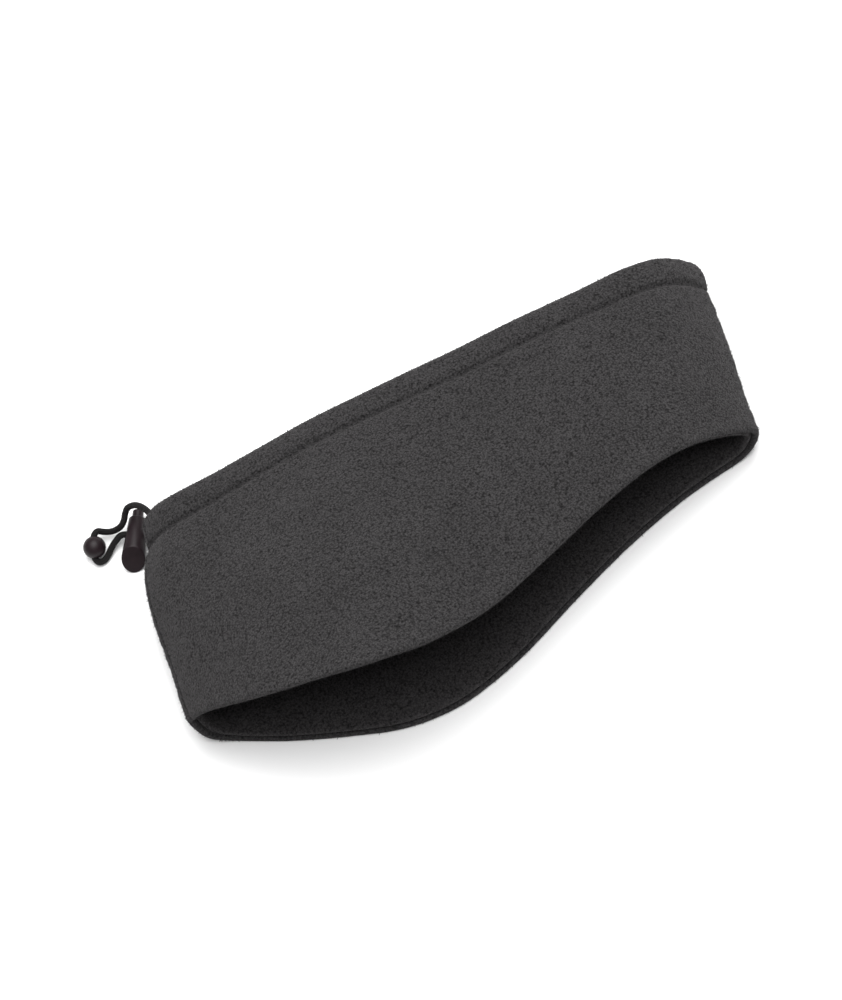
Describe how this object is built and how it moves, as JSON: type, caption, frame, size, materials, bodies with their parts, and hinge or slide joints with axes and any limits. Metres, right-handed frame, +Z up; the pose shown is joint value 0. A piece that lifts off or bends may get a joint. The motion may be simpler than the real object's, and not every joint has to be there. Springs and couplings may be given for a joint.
{
  "type": "fleece headband with drawcord",
  "caption": "Double-layer fleece ear-warmer headband with a drawcord in a casing along its crown edge, a cord lock and a bead at the back, lying on its side.",
  "frame": {"origin": "on the surface that the band lies on, under the middle of the fleece's bounding box", "axes": "+X from the centre back to the front of the band, +Y from the hem to the crown edge, +Z up from the surface"},
  "size_m": [0.2542, 0.1301, 0.0608],
  "materials": {
    "outer_fleece": "short dense nap, dark charcoal grey, matt",
    "inner_fleece": "short dense nap, dark charcoal grey, matt",
    "elastic_cord": "round braided elastic cord, near black",
    "lock_plastic": "moulded dark grey plastic with a soft sheen"
  },
  "bodies": {
    "headband": {"outer_shell": "outer_fleece", "inner_lining": "inner_fleece", "drawcord_in_casing": "elastic_cord", "drawcord_loop": "elastic_cord", "cord_lock_barrel": "lock_plastic", "cord_bead": "lock_plastic"},
    "plunger": {"cord_lock_plunger": "lock_plastic"}
  },
  "joints": [
    {"name": "plunger_press", "type": "slide", "parent": "headband", "child": "plunger", "axis": [-0.4135, -0.9066, 0.0839], "range_m": [0, 0.0018], "stiffness_N_per_m": 1500, "springref_m": -0.002}
  ]
}
